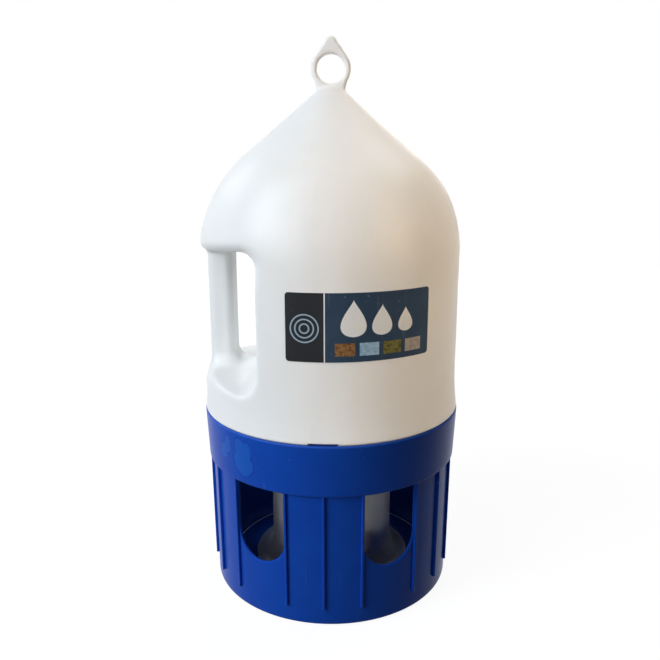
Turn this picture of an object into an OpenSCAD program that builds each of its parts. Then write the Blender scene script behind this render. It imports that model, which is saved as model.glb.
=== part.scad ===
// Poultry waterer fount: a white reservoir with a carry handle and a hanging eye,
// standing neck down in a blue drinking base with six bird windows.
// Millimetres, +Z up, the ground at z = 0, the front towards -Y, the handle towards -X.

/* [Drinking base] */
// Outer diameter of the base at the ground
base_d = 183; // [170:1:200]
// Wall thickness of the base
base_wall = 2.3; // [1.8:0.1:2.6]
// Height of the cage, from the ground to the lower edge of the collar
cage_h = 100; // [92:1:112]
// Thickness of the trough floor
floor_t = 3; // [2:0.1:4]

/* [Bird windows] */
// Number of bird windows around the cage
window_count = 6; // [4:1:7]
// Width of one bird window
window_w = 40; // [32:1:44]
// Height of the window sill above the ground
sill_z = 42; // [36:1:46]

/* [Ribs] */
// Width of one rib
rib_w = 3; // [2:0.1:4]
// How far a rib stands out from the cage wall
rib_out = 1.5; // [0.8:0.1:2]
// Height of the lower end of the ribs
rib_foot_z = 13; // [8:1:25]

/* [Collar and bayonet] */
// Height of the collar
collar_h = 37; // [32:1:44]
// Step from the cage wall out to the lower edge of the collar
collar_step = 2.7; // [2.4:0.1:3.5]
// Number of bayonet lugs inside the collar
lug_count = 2; // [2:1:3]
// Width of one bayonet lug along the collar
lug_w = 19; // [14:0.5:26]
// Turn between the entry of the bayonet and its lock, in degrees
lock_turn = 18; // [12:1:24]

/* [Reservoir] */
// Height of the straight wall, from the rim of the collar to the shoulder
body_h = 118; // [110:1:140]
// Radius of the shoulder between the wall and the cone
shoulder_r = 88; // [76:1:92]
// Half angle of the cone, from the vertical, in degrees
cone_angle = 49.7; // [46:0.1:54]
// Wall thickness of the reservoir
wall = 1.8; // [1.4:0.1:2.2]

/* [Neck and foot] */
// Outer diameter of the neck
neck_d = 94.6; // [80:0.2:104]
// Outer diameter of the flared foot
foot_d = 122; // [116:1:134]
// Height of the water level, set by the top of the outlet ports
water_z = 25; // [22:0.5:30]

/* [Carry handle] */
// Width of the grip, seen from the front
grip_w = 20; // [16:0.5:22]
// Depth of the grip, from front to back
grip_t = 27; // [22:0.5:32]
// Clear gap for the fingers between the grip and the reservoir
finger_gap = 25; // [22:0.5:30]
// Clear height of the gap for the fingers
finger_h = 85; // [76:1:92]

/* [Hanging eye] */
// Diameter of the hole in the eye
eye_hole_d = 19.6; // [14:0.2:22]
// Width of the ring around the hole
eye_ring_w = 4.4; // [3.5:0.1:6]
// Thickness of the eye
eye_t = 7; // [5:0.5:9]

/* [Label] */
// Width of the label along the wall
label_w = 100; // [70:1:120]
// Height of the label
label_h = 45; // [30:1:55]

/* [Hidden] */
$fn = 48;

white = [0.90, 0.89, 0.87];
blue = [0.05, 0.17, 0.55];
navy = [0.10, 0.17, 0.27];

run_gap = 0.3;
cut = 1;

// base: all radii follow from the diameter at the ground
base_draft = 0.6;
foot_r = base_d / 2;
floor_lift = 2.5;
floor_z = floor_lift + floor_t;
trough_fillet = 9;
edge_r = 1.5;
foot_ring_w = 7;
bar_over = 12;
bar_depth = 40;
window_r = window_w / 2;
arch_z = sill_z + window_r;
window_half = asin(window_r / foot_r);
rib_half = rib_w / 2 / foot_r * 180 / PI;
rib_shift = window_half + rib_half;
window_step = 360 / window_count;
function wall_r(z) = foot_r + z * tan(base_draft);

// collar: a drafted ring on a step over the cage wall
collar_draft = 2.7;
collar_wall = 2.2;
collar_chamfer = 0.6;
rim_round = 1.4;
mouth_chamfer = 0.5;
collar_low_r = wall_r(cage_h) + collar_step;
rim_z = cage_h + collar_h;
ledge_z = cage_h + base_wall;
ledge_r = wall_r(cage_h) - base_wall;
function collar_r(z) = collar_low_r + (z - cage_h) * tan(collar_draft);
function collar_in_r(z) = collar_r(z) - collar_wall;

// bayonet: lugs in the collar, an entry and a run for each lug in the reservoir's plug
lug_drop = 0.4;
lug_h = 8;
lug_play = 0.4;
lug_top_z = rim_z - lug_drop;
lug_low_z = lug_top_z - lug_h;
groove_depth = 2.2;
groove_play = 0.5;

// reservoir: the plug goes down into the collar, the skirt covers the rim
plug_play = 0.4;
seat_gap = 0.7;
body_over = 1.8;
plug_r = collar_in_r(ledge_z) - plug_play;
plug_z = ledge_z + seat_gap;
body_r = plug_r + body_over;
skirt_set = 0.5;
skirt_gap = 0.8;
skirt_edge_r = 1.6;
skirt_r = collar_r(rim_z) - skirt_set;
skirt_z = rim_z + skirt_gap;
skirt_h = 28;
notch_h = 1.2;
band_lift = 8;
cone_lift = 13;
heel_r = 5;
floor_r = plug_r - heel_r;
band_z = skirt_z + band_lift;
shoulder_z = rim_z + body_h;
crown_z = shoulder_z + cone_lift;
shoulder_c = body_r - shoulder_r;
cone_z = shoulder_z + shoulder_r * sin(cone_angle);
cone_r = shoulder_c + shoulder_r * cos(cone_angle);
apex_z = cone_z + cone_r / tan(cone_angle);
tip_r = 16;
tip_flat = 85;
tip_c = apex_z - tip_r / sin(cone_angle);
groove_r = plug_r - groove_depth;
run_r = groove_r + 0.15;
lug_r = run_r + lug_play;
lug_angle = lug_w / plug_r * 180 / PI;
play_angle = lug_play / plug_r * 180 / PI;
entry_angle = lug_angle + 2 * play_angle;

// neck and foot: the neck stands over a spigot on the foot
neck_r = neck_d / 2;
neck_wall = 2;
neck_in_r = neck_r - neck_wall;
joint_z = 26;
spigot_h = 14;
spigot_r = neck_in_r - run_gap;
foot_wall = 2.2;
foot_out_r = foot_d / 2;
foot_z = floor_z + run_gap;
foot_lip = 2.6;
flare_h = joint_z - foot_z - foot_lip;
flare_w = foot_out_r - neck_r;
port_d = 11;
port_reach = 40;
neck_blend = 6;

// handle: a pocket through the reservoir, with the grip standing in it
grip_set = 3;
grip_out_x = -(body_r - grip_set);
grip_x = grip_out_x + grip_w / 2;
grip_in_x = grip_out_x + grip_w;
pocket_x = grip_in_x + finger_gap;
pocket_top = shoulder_z;
pocket_low = shoulder_z - finger_h;
pocket_reach = body_r + 2;
pocket_draft = 6.8;
pocket_widen = 0.03;
pocket_round = 11;
pocket_over = 25;
grip_bury = 30;
grip_flare_h = 15;
grip_flare_w = 15;
grip_flare_t = 18;
grip_flare_x = 4;
thin = 0.02;

// hanging eye: a flat ring with a pointed top over the tip of the cone
eye_r = eye_hole_d / 2 + eye_ring_w;
eye_gap = 0.9;
point_over = 3.1;
eye_z = tip_c + tip_r + eye_gap + eye_hole_d / 2;
point_r = 4.2;
point_z = eye_z + eye_r + point_over;
point_tilt = asin((eye_r - point_r) / (point_z - eye_z));
waist_w = eye_r * 0.78;
waist_z = eye_z - eye_r * 0.8;
root_w = waist_w * 1.35;
root_z = apex_z - root_w / tan(cone_angle) - 0.8;

// label: a film on its adhesive on the front of the wall
label_t = 0.3;
adhesive_t = 0.06;
label_r = body_r + adhesive_t;
label_mid_angle = 15.6;
label_lift = 57;
label_z = rim_z + label_lift;
label_angle = label_w / body_r * 180 / PI;

function arc(cx, cy, r, a0, a1, steps = 10) =
    [for (i = [0:steps]) [cx + r * cos(a0 + (a1 - a0) * i / steps), cy + r * sin(a0 + (a1 - a0) * i / steps)]];

// a ring sector over [r0, r1] and [z0, z1], centred on the angle mid seen from above, 0 towards -Y
module sector(mid, angle, points) {
    rotate([0, 0, mid - 90 - angle / 2])
        rotate_extrude(angle = angle)
            polygon(points);
}

module box_sector(mid, angle, r0, r1, z0, z1) {
    sector(mid, angle, [[r0, z0], [r1, z0], [r1, z1], [r0, z1]]);
}

// base

module window_bars(w, z0, z1) {
    for (i = [0:window_count - 1])
        rotate([0, 0, (i + 0.5) * window_step])
            translate([-w / 2, -foot_r - bar_over, z0])
                cube([w, bar_depth, z1 - z0]);
}

module water_trough() {
    in_low = wall_r(floor_z + trough_fillet) - base_wall;
    color(blue)
    difference() {
        rotate_extrude()
            polygon(concat(
                [[0, floor_lift], [foot_r - foot_ring_w, floor_lift], [foot_r - foot_ring_w, 0]],
                arc(foot_r - edge_r, edge_r, edge_r, -90, 0, 5),
                [[wall_r(arch_z), arch_z], [wall_r(arch_z) - base_wall, arch_z]],
                arc(in_low - trough_fillet, floor_z + trough_fillet, trough_fillet, 0, -90),
                [[0, floor_z]]));
        for (i = [0:window_count - 1])
            rotate([0, 0, (i + 0.5) * window_step])
                translate([0, bar_depth / 2 - foot_r, arch_z])
                    rotate([90, 90, 0])
                        cylinder(h = bar_depth, r = window_r);
    }
}

module cage_piers() {
    color(blue)
    difference() {
        translate([0, 0, arch_z])
            cylinder(h = cage_h - arch_z, r1 = wall_r(arch_z), r2 = wall_r(cage_h));
        translate([0, 0, arch_z - cut])
            cylinder(h = cage_h - arch_z + 2 * cut, r1 = wall_r(arch_z - cut) - base_wall,
                r2 = wall_r(cage_h + cut) - base_wall);
        window_bars(window_w, arch_z - cut, cage_h + cut);
    }
}

module stiffening_ribs() {
    color(blue)
    difference() {
        intersection() {
            translate([0, 0, rib_foot_z])
                cylinder(h = cage_h - rib_foot_z, r1 = wall_r(rib_foot_z) + rib_out,
                    r2 = wall_r(cage_h) + rib_out);
            for (i = [0:window_count - 1])
                for (turn = [0, window_step / 2 - rib_shift, window_step / 2 + rib_shift])
                    rotate([0, 0, i * window_step + turn])
                        translate([-rib_w / 2, -foot_r - bar_over, 0])
                            cube([rib_w, bar_depth, cage_h]);
        }
        translate([0, 0, rib_foot_z - cut])
            cylinder(h = cage_h - rib_foot_z + 2 * cut, r1 = wall_r(rib_foot_z - cut), r2 = wall_r(cage_h + cut));
    }
}

module seat_collar() {
    color(blue)
    rotate_extrude()
        polygon(concat(
            [[ledge_r, cage_h], [collar_low_r - collar_chamfer, cage_h],
             [collar_r(cage_h + collar_chamfer), cage_h + collar_chamfer],
             [collar_r(rim_z - rim_round), rim_z - rim_round]],
            arc(collar_r(rim_z) - rim_round, rim_z - rim_round, rim_round, 18, 90, 6),
            [[collar_in_r(rim_z) + mouth_chamfer, rim_z],
             [collar_in_r(rim_z - mouth_chamfer), rim_z - mouth_chamfer],
             [collar_in_r(ledge_z), ledge_z], [ledge_r, ledge_z]]));
}

module bayonet_lugs() {
    color(blue)
    for (i = [0:lug_count - 1])
        sector(i * 360 / lug_count, lug_angle,
            [[lug_r, lug_low_z], [collar_in_r(lug_low_z), lug_low_z], [collar_in_r(lug_top_z), lug_top_z],
             [lug_r, lug_top_z]]);
}

// foot

module outlet_foot() {
    lip_in = foot_out_r - foot_wall;
    bore_r = spigot_r - foot_wall;
    flare = [for (a = [0:7.5:90])
        [foot_out_r - flare_w * sin(a), foot_z + foot_lip + flare_h * (1 - cos(a))]];
    hollow = [for (a = [90:-7.5:0])
        [lip_in - (lip_in - bore_r) * sin(a), foot_z + flare_h * (1 - cos(a))]];
    color(white)
    difference() {
        rotate_extrude()
            polygon(concat([[foot_out_r, foot_z]], flare,
                [[spigot_r, joint_z], [spigot_r, joint_z + spigot_h], [bore_r, joint_z + spigot_h]], hollow));
        for (turn = [0, 180])
            rotate([90, 0, turn])
                translate([0, water_z - port_d / 2, bore_r - port_d])
                    cylinder(h = port_reach, d = port_d);
    }
}

// reservoir

// the outside (inset 0) or the inside (inset = wall) of the reservoir, as a closed outline from the axis
function skirt(inset) = [for (i = [0:8]) let (t = i / 8)
    [body_r - inset + (skirt_r - body_r) * t * t * (inset > 0 ? 0.6 : 1), skirt_z + 2 + skirt_h * (1 - t)]];
function reservoir_outline(inset) = concat(
    [[0, plug_z + inset], [plug_r - heel_r, plug_z + inset]],
    arc(plug_r - heel_r, plug_z + heel_r, heel_r - inset, -90, 0, 6),
    inset > 0
        ? [[plug_r - inset, skirt_z + inset]]
        : concat([[plug_r, skirt_z]],
            arc(skirt_r - skirt_edge_r, skirt_z + skirt_edge_r, skirt_edge_r, -90, 0, 4)),
    [for (i = [8:-1:0]) skirt(inset)[i]],
    arc(shoulder_c, shoulder_z, shoulder_r - inset, 0, cone_angle, 16),
    arc(0, tip_c, tip_r - inset, cone_angle, tip_flat, 6),
    [[0, tip_c + (tip_r - inset) * sin(tip_flat)]]);

module reservoir_solid(inset) {
    rotate_extrude()
        polygon(reservoir_outline(inset));
}

// a section of the pocket at y, which widens with its draft away from the parting plane
module pocket_face(y, grow) {
    spread = abs(y) * tan(pocket_draft) + grow;
    right = pocket_x + abs(y) * pocket_widen + grow;
    top = pocket_top + spread;
    low = pocket_low - spread;
    translate([0, y, 0])
        rotate([90, 0, 0])
            linear_extrude(thin, center = true)
                polygon(concat(
                    [[-body_r - pocket_over, top], [-body_r - pocket_over, low]],
                    arc(right - pocket_round, low + pocket_round, pocket_round, -90, 0, 6),
                    arc(right - pocket_round, top - pocket_round, pocket_round, 0, 90, 6)));
}

// the pocket: a front half and a back half, each reaching just over the parting plane
module pocket(grow) {
    for (side = [-1, 1])
        hull() {
            pocket_face(-side, grow);
            pocket_face(side * pocket_reach, grow);
        }
}

module bayonet_grooves(grow) {
    for (i = [0:lug_count - 1]) {
        mid = i * 360 / lug_count;
        spread = grow * 180 / PI / plug_r;
        box_sector(mid, entry_angle + 2 * spread, groove_r - grow, skirt_r + bar_over,
            plug_z - cut, skirt_z + notch_h + grow);
        box_sector(mid - lock_turn / 2 - entry_angle / 4, lock_turn + entry_angle / 2 + 2 * spread, run_r - grow,
            plug_r + groove_play, lug_low_z - groove_play - grow, lug_top_z + groove_play + grow);
    }
}

function oval(w, t, steps = 40) = [for (i = [0:steps - 1]) let (a = 360 * i / steps, c = cos(a), s = sin(a))
    [w / 2 * sign(c) * pow(abs(c), 0.8), t / 2 * sign(s) * pow(abs(s), 0.8)]];

module grip_section(z, w, t, x = grip_x) {
    translate([x, 0, z])
        linear_extrude(thin)
            polygon(oval(w, t));
}

module grip_core() {
    translate([grip_x, 0, pocket_low - grip_bury])
        linear_extrude(finger_h + 2 * grip_bury)
            polygon(oval(grip_w - 2 * wall, grip_t - 2 * wall));
}

module grip_outside() {
    translate([grip_x, 0, pocket_low - grip_bury])
        linear_extrude(finger_h + 2 * grip_bury)
            polygon(oval(grip_w, grip_t));
    hull() {
        grip_section(pocket_low + grip_flare_h, grip_w, grip_t);
        grip_section(pocket_low - cut, grip_w + grip_flare_w, grip_t + grip_flare_t, grip_x + grip_flare_x);
    }
}

// the part of the reservoir's outside between two heights
module reservoir_band(z0, z1) {
    intersection() {
        reservoir_solid(0);
        translate([0, 0, z0])
            cylinder(h = z1 - z0, r = skirt_r + bar_over);
    }
}

module reservoir_floor() {
    color(white)
    translate([0, 0, plug_z])
        difference() {
            cylinder(h = wall, r = floor_r);
            translate([0, 0, -cut])
                cylinder(h = wall + 2 * cut, r = neck_in_r);
        }
}

module plug_skirt() {
    color(white)
    difference() {
        reservoir_band(plug_z - cut, band_z);
        bayonet_grooves(0);
        difference() {
            reservoir_solid(wall);
            bayonet_grooves(wall);
        }
        translate([0, 0, plug_z - cut])
            cylinder(h = wall + 2 * cut, r = floor_r);
    }
}

module reservoir_wall() {
    color(white)
    difference() {
        reservoir_band(band_z, crown_z);
        reservoir_solid(wall);
        pocket(wall);
    }
}

module reservoir_cone() {
    color(white)
    difference() {
        reservoir_band(crown_z, apex_z);
        reservoir_solid(wall);
    }
}

module handle_pocket() {
    color(white)
    difference() {
        intersection() {
            pocket(wall);
            reservoir_solid(0);
        }
        pocket(0);
        grip_core();
    }
}

module outlet_neck() {
    low = joint_z + run_gap;
    color(white)
    rotate_extrude()
        polygon(concat(
            [[neck_in_r, low], [neck_r, low]],
            arc(neck_r + neck_blend, plug_z - neck_blend, neck_blend, 180, 90, 6),
            [[neck_in_r, plug_z]]));
}

module carry_handle() {
    color(white)
    difference() {
        intersection() {
            grip_outside();
            pocket(0);
            reservoir_solid(0);
        }
        grip_core();
    }
}

module hanging_eye() {
    right = concat(
        [[root_w - 3, root_z - 3], [root_w, root_z], [waist_w * 1.1, waist_z - 4.5], [waist_w, waist_z]],
        arc(0, eye_z, eye_r, -35, point_tilt),
        arc(0, point_z, point_r, point_tilt, 90, 6));
    left = [for (i = [len(right) - 2:-1:0]) [-right[i][0], right[i][1]]];
    color(white)
    difference() {
        translate([0, eye_t / 2, 0])
            rotate([90, 0, 0])
                linear_extrude(eye_t)
                    polygon(concat(right, left));
        translate([0, eye_t, eye_z])
            rotate([90, 0, 0])
                cylinder(h = 2 * eye_t, d = eye_hole_d);
        reservoir_solid(0);
    }
}

module front_label() {
    color(navy)
    box_sector(label_mid_angle, label_angle, label_r, label_r + label_t, label_z, label_z + label_h);
}

water_trough();
cage_piers();
stiffening_ribs();
seat_collar();
bayonet_lugs();
outlet_foot();
reservoir_floor();
plug_skirt();
reservoir_wall();
reservoir_cone();
handle_pocket();
outlet_neck();
carry_handle();
hanging_eye();
front_label();
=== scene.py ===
"""Looks of the poultry waterer fount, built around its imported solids. Metres, front towards -Y."""
import math

import bmesh
import bpy
import numpy as np
from mathutils import Matrix, Vector


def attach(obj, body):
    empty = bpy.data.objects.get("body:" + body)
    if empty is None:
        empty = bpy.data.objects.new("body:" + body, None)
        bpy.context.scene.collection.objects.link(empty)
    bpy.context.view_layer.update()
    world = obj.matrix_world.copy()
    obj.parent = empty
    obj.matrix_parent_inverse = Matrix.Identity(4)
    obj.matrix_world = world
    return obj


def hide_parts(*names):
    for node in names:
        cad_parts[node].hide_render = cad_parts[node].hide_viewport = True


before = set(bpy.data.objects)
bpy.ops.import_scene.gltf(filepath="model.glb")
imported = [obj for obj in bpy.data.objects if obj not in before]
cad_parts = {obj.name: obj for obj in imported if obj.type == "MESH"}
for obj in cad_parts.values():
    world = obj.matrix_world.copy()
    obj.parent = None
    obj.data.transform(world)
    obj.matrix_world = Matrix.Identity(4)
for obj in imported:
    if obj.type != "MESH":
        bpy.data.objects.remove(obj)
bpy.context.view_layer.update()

# Sizes of the fount in millimetres: those of the part's source, with lips, fillets and edges of the
# scene's own. A RUN is how far a form goes on past its edge, or where the plain wall beside it starts.
MM = 0.001

# drinking base
BASE_R = 91.5
BASE_DRAFT = math.tan(math.radians(0.6))
BASE_WALL = 2.3
CAGE_H = 100.0
UNDERSIDE_Z = 2.5
FLOOR_Z = 5.5
TROUGH_FILLET = 9.0
FOOT_EDGE_R = 1.5
FOOT_RING_W = 7.0
FOOT_RING_EDGE = 0.5
FLOOR_RINGS = (60.0, 30.0, 0.0)
WINDOW_COUNT = 6
WINDOW_STEP = math.tau / WINDOW_COUNT
WINDOW_R = 20.0
ARCH_Z = 62.0
WINDOW_EDGE_R = 0.55
PIER_TOP_Z = CAGE_H + 0.6
RIB_W = 3.0
RIB_OUT = 1.45
RIB_BURY = 0.45
RIB_EDGE_R = 0.5
RIB_FOOT_Z = 13.0
RIB_SHIFT = math.radians(13.34)

# collar and bayonet
COLLAR_LOW_R = 95.25
COLLAR_SLOPE = math.tan(math.radians(2.7))
COLLAR_WALL = 2.2
COLLAR_EDGE_R = 0.7
COLLAR_RUN = 2.0
RIM_Z = 137.0
RIM_ROUND = 1.05
RIM_RUN = 2.2
LEDGE_Z = 102.3
LEDGE_R = 90.25
LEDGE_ROUND = 0.5
LEDGE_CHAMFER = 1.0
LUG_W = 19.0
LUG_LOW_Z = 128.6
LUG_TOP_Z = 136.6
LUG_R = 91.11
LUG_COUNT = 2
LUG_EDGE_R = 0.6
LUG_BURY = 0.6

# reservoir
PLUG_R = 92.76
PLUG_Z = 103.0
HEEL_R = 5.0
BODY_R = 94.56
SKIRT_R = 96.49
SKIRT_Z = 137.05
SKIRT_H = 28.0
SKIRT_LIFT = 2.0
SKIRT_EDGE_R = 1.6
SKIRT_POINTS = 25
SHOULDER_Z = 255.0
SHOULDER_R = 88.0
CONE_ANGLE = math.radians(49.7)
TIP_R = 22.0
CONE_POINT_Z = 375.95
TIP_C = CONE_POINT_Z - TIP_R / math.sin(CONE_ANGLE)
RESERVOIR_WALL = 1.8
GROOVE_R = 90.56
RUN_R = 90.71
NOTCH_TOP_Z = 139.0
ENTRY_PLAY = 0.4
ENTRY_HALF = (LUG_W / 2 + ENTRY_PLAY) / PLUG_R
ENTRY_OUT_R = 110.0
ENTRY_RUN = 3.0
RUN_PLAY = 0.5
LOCK_TURN = math.radians(18)
HOLLOW_PLUG_R = 88.6
HOLLOW_PLUG_Z = 143.0

# neck and outlet foot
NECK_R = 47.3
NECK_IN_R = 45.3
NECK_LOW_Z = 26.05
NECK_BLEND = 6.0
NECK_SPARE = 6.0
NECK_RUN = 4.0
NECK_CUT_OUT = 5.0
NECK_CUT_RUN = 9.0
NECK_CUT_SIDES = 64
BORE_LOW_Z = 13.0
BORE_RUN = 8.0
FOOT_R = 61.0
FOOT_Z = 5.8
FOOT_LIP = 2.6
FOOT_WALL = 2.2
JOINT_Z = 26.0
SPIGOT_R = 45.0
SPIGOT_TOP_Z = 40.0
PORT_R = 5.5
PORT_TOP_Z = 25.0

# carry handle
GRIP_X = -82.36
GRIP_HALF_W = 9.2
GRIP_HALF_T = 13.5
GRIP_CORNER = 6.0
GRIP_RUN = 12.0
POCKET_X = -47.2
POCKET_WIDEN = 0.03
POCKET_TOP = 253.5
POCKET_LOW = 170.0
POCKET_DRAFT = math.radians(6.2)
POCKET_ROUND_TOP = 11.0
POCKET_ROUND_LOW = 9.0
POCKET_ROUND_GAIN = 0.12
POCKET_SOFT = 1.5
LIP_R = 2.2
LIP_R_TOP = 7.0
LIP_TOP_Z = 238.0
LIP_R_LOW = 18.0
LIP_LOW_Z = 187.0
LIP_RISE = 16.0
LIP_REACH = 26.0
BULGES = ((262.0, 22.0, 2.2), (154.0, 12.0, 0.4))
BULGE_WIDTH = 34.0
GRIP_BLEND_LOW = 10.0
GRIP_BLEND_TOP = 3.0

# hanging eye
EYE_Z = 381.665
EYE_HOLE_R = 9.8
EYE_R = 14.2
EYE_HALF_T = 3.5
EYE_EDGE_R = 2.0
EYE_POINT_Z = 398.965
EYE_POINT_R = 4.2
EYE_BLEND = 2.5
EYE_NECK_HALF_W = 10.1
EYE_NECK_Z = 367.5
EYE_NECK_SPREAD = 0.6
EYE_NECK_RUN = 15.0

# label
LABEL_R = 94.62
LABEL_T = 0.3
LABEL_W = 100.0
LABEL_H = 45.0
LABEL_Z = 194.0
LABEL_MID = math.radians(15.6)
LABEL_CORNER = 2.2

# camera of the photograph: place, aim and lens, for a square picture of 660 by 660
CAMERA_TURN = math.radians(3.33)
CAMERA_AWAY = 0.53191
CAMERA_Z = 0.32226
CAMERA_PITCH = math.radians(13.732)
CAMERA_YAW = math.radians(-0.098)
CAMERA_ROLL = math.radians(-0.11)
SENSOR_W = 36.0
CAMERA_LENS = 713.51 * SENSOR_W / 660.0


# Shapes


def arc(cx, cy, radius, start, end, steps):
    """Points of an arc, angles in degrees."""
    angles = np.radians(np.linspace(start, end, steps + 1))
    return [(cx + radius * math.cos(a), cy + radius * math.sin(a)) for a in angles]


def around(radius, angle, z):
    """A point at an angle from the front, towards +X."""
    return (radius * math.sin(angle), -radius * math.cos(angle), z)


def piece_from(name, points, faces, material, sharp=40.0):
    """A piece from points in millimetres, with its normals outwards and its sharp edges marked."""
    mesh = bpy.data.meshes.new(name)
    mesh.from_pydata([tuple(np.asarray(p) * MM) for p in points], [], [list(map(int, f)) for f in faces])
    work = bmesh.new()
    work.from_mesh(mesh)
    bmesh.ops.recalc_face_normals(work, faces=work.faces)
    work.to_mesh(mesh)
    work.free()
    return piece_of(name, mesh, material, sharp)


def mesh_from(work, name):
    """The mesh of finished work, which is freed."""
    mesh = bpy.data.meshes.new(name)
    work.to_mesh(mesh)
    work.free()
    return mesh


def piece_of(name, mesh, material, sharp=40.0):
    """An object at the origin for a finished mesh."""
    mesh.name = name
    mesh.materials.clear()
    mesh.materials.append(material)
    for face in mesh.polygons:
        face.use_smooth = True
        face.material_index = 0
    mesh.set_sharp_from_angle(angle=math.radians(sharp))
    piece = bpy.data.objects.new(name, mesh)
    bpy.context.scene.collection.objects.link(piece)
    return piece


def finished_mesh(piece):
    """The mesh of a piece with its modifiers applied; the piece itself is removed."""
    bpy.context.view_layer.update()
    graph = bpy.context.evaluated_depsgraph_get()
    mesh = bpy.data.meshes.new_from_object(piece.evaluated_get(graph))
    bpy.data.objects.remove(piece)
    return mesh


def cut_away(piece, cutters):
    """Cuts the solids of the cutters out of a piece and removes them."""
    for cutter in cutters:
        cut = piece.modifiers.new("cut", "BOOLEAN")
        cut.operation = "DIFFERENCE"
        cut.solver = "MANIFOLD"
        cut.object = cutter
    mesh = finished_mesh(piece)
    for cutter in cutters:
        bpy.data.objects.remove(cutter)
    return mesh


def round_bar(name, radius, length, sides, stand, material):
    """A plain round bar about its own Z, for cutting; sizes in millimetres."""
    work = bmesh.new()
    bmesh.ops.create_cone(work, cap_ends=True, segments=sides, radius1=radius * MM, radius2=radius * MM,
                          depth=length * MM, matrix=stand)
    return piece_of(name, mesh_from(work, name), material)


def lathe(outline, segments):
    """Points and faces of a closed outline of (r, z) turned about the axis."""
    points = []
    faces = []
    count = len(outline)
    for s in range(segments):
        angle = math.tau * s / segments
        points += [around(r, angle, z) for r, z in outline]
        here = s * count
        there = (s + 1) % segments * count
        for i in range(count):
            j = (i + 1) % count
            faces.append((here + i, there + i, there + j, here + j))
    return points, faces


def ring_sector(start, end, inner, outer, low, top, steps=24):
    """Points and faces of a solid ring sector, angles in radians."""
    corners = ((inner, low), (outer, low), (outer, top), (inner, top))
    points = []
    faces = []
    for s in range(steps + 1):
        angle = start + (end - start) * s / steps
        points += [around(r, angle, z) for r, z in corners]
        if s < steps:
            for i in range(4):
                j = (i + 1) % 4
                faces.append((4 * s + i, 4 * s + 4 + i, 4 * s + 4 + j, 4 * s + j))
    faces.append((0, 1, 2, 3))
    faces.append(tuple(4 * steps + i for i in (3, 2, 1, 0)))
    return points, faces


# Skin of the reservoir: a field that is negative inside, meshed where it is zero


FAR = 1e9
TINY = 1e-9
SLOPE_STEP = 0.05
LEAST_SLOPE = 0.05
MOST_PULL = 0.8
PULLS = 2
TABLE_STEP = 0.5
TABLE_R = 150.0
TABLE_LOW_Z = 10.0
TABLE_TOP_Z = 420.0
# grid of the outside as spans of (start, end, step), fine at the edges, the grip and the eye
OUTSIDE_X = ((-102, -44, 1.7), (-44, -17, 3.0), (-17, 17, 0.65), (17, 102, 3.4))
OUTSIDE_Y = ((0, 5, 0.55), (5, 102, 2.6))
OUTSIDE_Z = (
    (15, 99, 4.0),
    (99, 136, 3.0),
    (136, 139, 0.4),
    (139, 147, 0.8),
    (147, 187, 1.7),
    (187, 238, 3.0),
    (238, 276, 1.7),
    (276, 358, 3.2),
    (358, 407, 0.65),
)
HOLLOW_ACROSS = ((0, 102, 4.1),)
HOLLOW_Z = ((7, 375, 4.1),)


def rounded_cut(solid, hole, radius):
    """Takes the hole out of the solid, with a rounded edge."""
    a = np.maximum(radius + solid, 0)
    b = np.maximum(radius - hole, 0)
    return np.minimum(np.maximum(solid, -hole), -radius) + np.sqrt(a * a + b * b)


def rounded_join(solid, other, radius):
    """Joins two solids, with a fillet in the corner."""
    a = np.maximum(radius - solid, 0)
    b = np.maximum(radius - other, 0)
    return np.maximum(np.minimum(solid, other), radius) - np.sqrt(a * a + b * b)


def rounded_both(first, second, radius):
    """What two solids share, with a rounded edge."""
    return rounded_cut(first, -second, radius)


def outline_distance(outline, across, up):
    """Signed distance to a closed outline, negative inside. Edges on the axis don't count."""
    best = np.full(np.broadcast(across, up).shape, FAR)
    inside = np.zeros(best.shape, bool)
    corners = np.array(outline, float)
    for a, b in zip(corners, np.roll(corners, -1, axis=0)):
        if a[0] == 0 and b[0] == 0:
            continue
        edge = b - a
        share = ((across - a[0]) * edge[0] + (up - a[1]) * edge[1]) / max(edge @ edge, TINY)
        share = np.clip(share, 0, 1)
        off = (across - a[0] - share * edge[0]) ** 2 + (up - a[1] - share * edge[1]) ** 2
        best = np.minimum(best, off)
        if a[1] != b[1]:
            spans = (a[1] > up) != (b[1] > up)
            inside ^= spans & (across < a[0] + (up - a[1]) / (b[1] - a[1]) * edge[0])
    return np.where(inside, -1.0, 1.0) * np.sqrt(best)


def reservoir_outline():
    """Outline of the reservoir from the axis below to the axis above."""
    skirt = []
    for t in np.linspace(1, 0, SKIRT_POINTS):
        skirt.append((BODY_R + (SKIRT_R - BODY_R) * t * t, SKIRT_Z + SKIRT_LIFT + SKIRT_H * (1 - t)))
    angle = math.degrees(CONE_ANGLE)
    return (
        [(0.0, PLUG_Z)]
        + arc(PLUG_R - HEEL_R, PLUG_Z + HEEL_R, HEEL_R, -90, 0, 8)
        + [(PLUG_R, SKIRT_Z)]
        + arc(SKIRT_R - SKIRT_EDGE_R, SKIRT_Z + SKIRT_EDGE_R, SKIRT_EDGE_R, -90, 0, 8)
        + skirt
        + arc(BODY_R - SHOULDER_R, SHOULDER_Z, SHOULDER_R, 0, angle, 90)
        + arc(0, TIP_C, TIP_R, angle, 89, 14)
        + [(0.0, TIP_C + TIP_R)]
    )


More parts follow.
